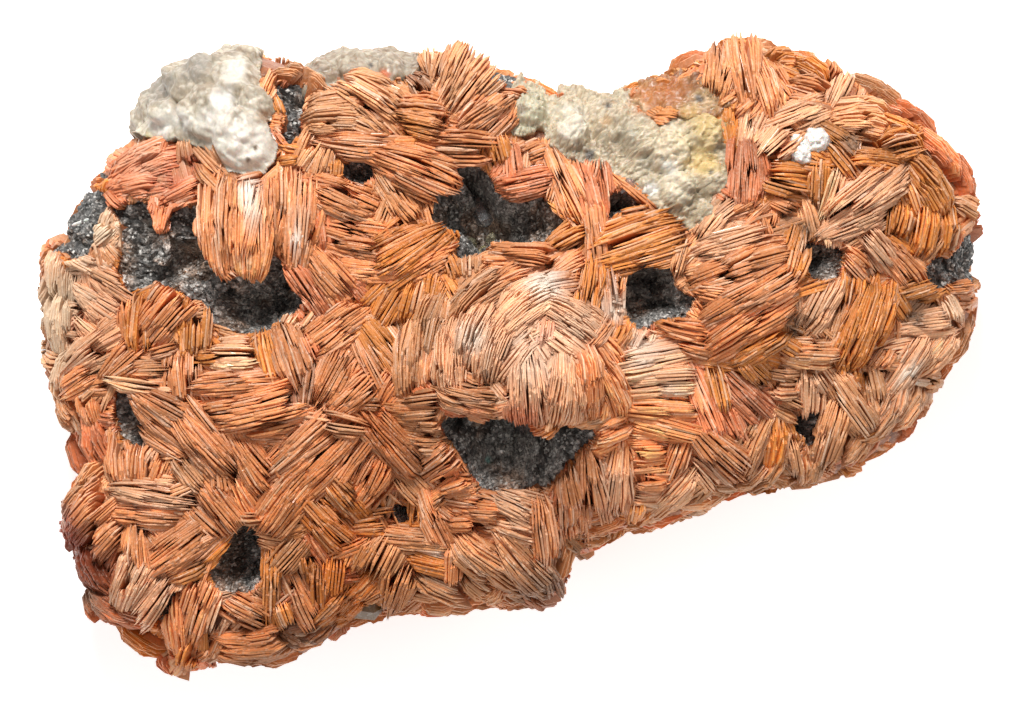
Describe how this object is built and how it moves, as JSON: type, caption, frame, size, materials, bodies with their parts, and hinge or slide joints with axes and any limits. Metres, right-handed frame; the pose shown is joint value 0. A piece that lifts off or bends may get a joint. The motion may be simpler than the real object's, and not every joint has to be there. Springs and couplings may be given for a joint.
{
  "type": "barite mineral specimen",
  "caption": "Natural mineral specimen lying on its back: stacks of thin salmon-coloured barite plates grown over dark granular galena, with pale crusts at its upper edge.",
  "frame": {"origin": "on the floor, under the middle of the specimen's box", "axes": "+X along the specimen's length, to the right in the picture; +Y up the picture; +Z out of the crystal face, upwards when the specimen lies on its back"},
  "size_m": [0.1196, 0.08, 0.0436],
  "materials": {
    "barite": "glassy thin plates, matt between them",
    "galena": "granular with small metallic glints",
    "white_crust": "sugary",
    "pale_crust": "silky",
    "granular_crust": "granular",
    "nodule": "smooth"
  },
  "bodies": {
    "root": {"barite_crystals": "barite", "galena_matrix": "galena", "white_crust_left": "white_crust", "pale_crust_top": "pale_crust", "pale_crust_middle": "granular_crust", "white_nodule": "nodule"}
  },
  "joints": []
}
